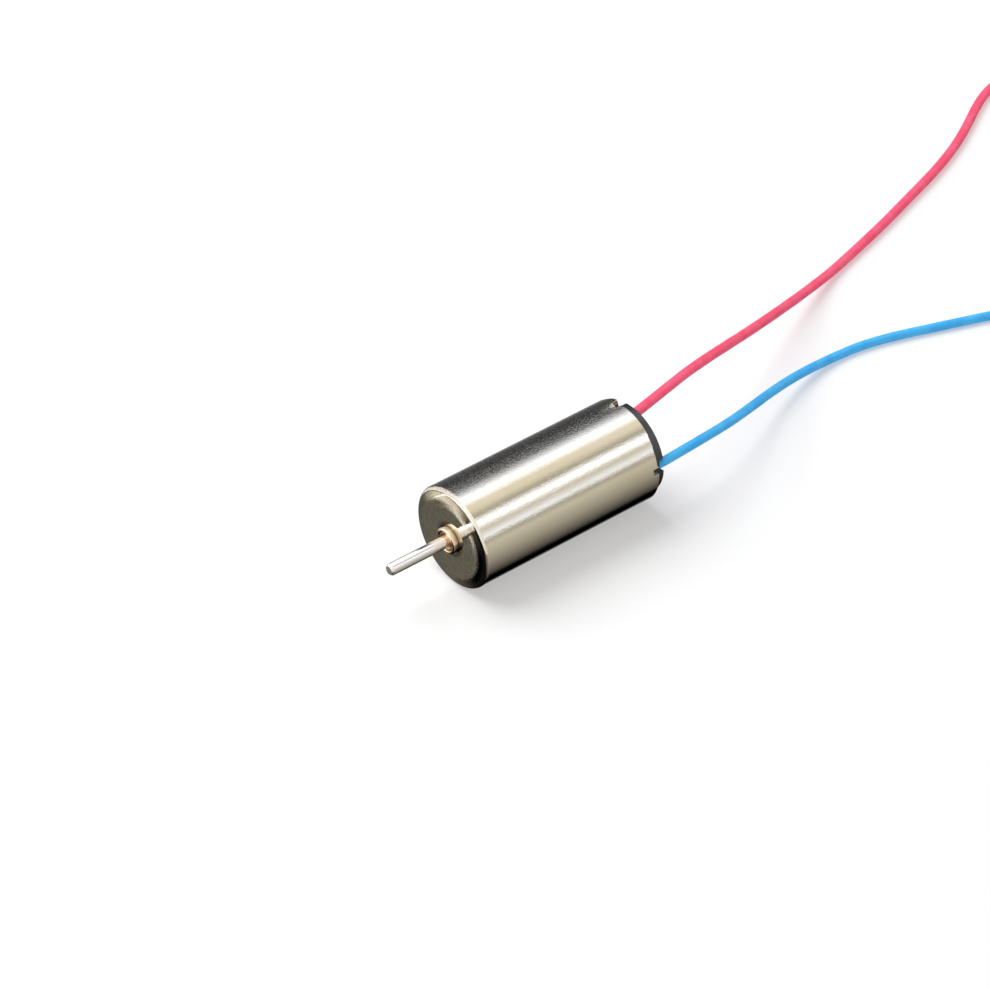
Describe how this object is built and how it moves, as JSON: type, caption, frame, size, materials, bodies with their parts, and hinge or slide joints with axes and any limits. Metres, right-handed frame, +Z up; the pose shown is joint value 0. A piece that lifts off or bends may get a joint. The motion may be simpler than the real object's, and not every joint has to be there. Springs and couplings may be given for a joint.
{
  "type": "electric motor",
  "caption": "Miniature coreless DC motor: plated cylindrical can, slim steel output shaft in a proud bearing, black end cap and a red and a blue lead with bare tinned ends.",
  "frame": {"origin": "under the middle of the motor, leads left out, on the surface that its can lies on", "axes": "-Y out of the front along the output shaft, +Y towards the end cap and the leads, +Z up with the motor lying on its can; the shaft's axis is 3.5 mm above the origin"},
  "size_m": [0.0256, 0.0774, 0.007],
  "materials": {
    "can_plating": "bright nickel plating on a deep-drawn steel can, slightly warm, very fine orange peel",
    "tube_plating": "bright plated tube, polished end",
    "bronze": "oil-filled sintered bronze, satin",
    "shaft_steel": "ground and polished stainless steel",
    "magnet_plating": "nickel-plated rare-earth magnet, satin",
    "brass_washer": "turned brass, satin",
    "winding": "varnished copper wire, wound at a slant and bonded",
    "dark_moulding": "dark moulded resin, matt",
    "cap_plastic": "black moulded engineering plastic, fine matt",
    "pad_plastic": "hard white bearing plastic",
    "contact_metal": "gold-coloured precious-metal contact strip, bright",
    "solder": "tin solder and tinned copper strand, bright",
    "red_insulation": "pinkish red wire insulation, satin",
    "blue_insulation": "sky-blue wire insulation, satin"
  },
  "bodies": {
    "housing": {"can": "can_plating", "bearing_tube": "tube_plating", "front_bearing": "bronze", "rear_bearing": "bronze", "magnet_seat": "brass_washer", "magnet": "magnet_plating", "end_cap": "cap_plastic", "thrust_pad": "pad_plastic", "brush_a": "contact_metal", "brush_b": "contact_metal", "terminal_a": "contact_metal", "terminal_b": "contact_metal", "solder_a": "solder", "solder_b": "solder", "lead_core_red": "solder", "lead_core_blue": "solder", "lead_wire_red": "red_insulation", "lead_wire_blue": "blue_insulation", "lead_tip_red": "solder", "lead_tip_blue": "solder"},
    "rotor": {"shaft": "shaft_steel", "thrust_washer": "pad_plastic", "coil_cup": "winding", "coil_hub": "dark_moulding", "commutator_core": "dark_moulding", "commutator_segment_1": "contact_metal", "commutator_segment_2": "contact_metal", "commutator_segment_3": "contact_metal", "commutator_ring": "dark_moulding", "coil_tap_1": "winding", "coil_tap_2": "winding", "coil_tap_3": "winding"}
  },
  "joints": [
    {"name": "rotor_spin", "type": "hinge", "parent": "housing", "child": "rotor", "pos_m": [0, 0, 0.0035], "axis": [0, -1, 0], "continuous": true}
  ]
}
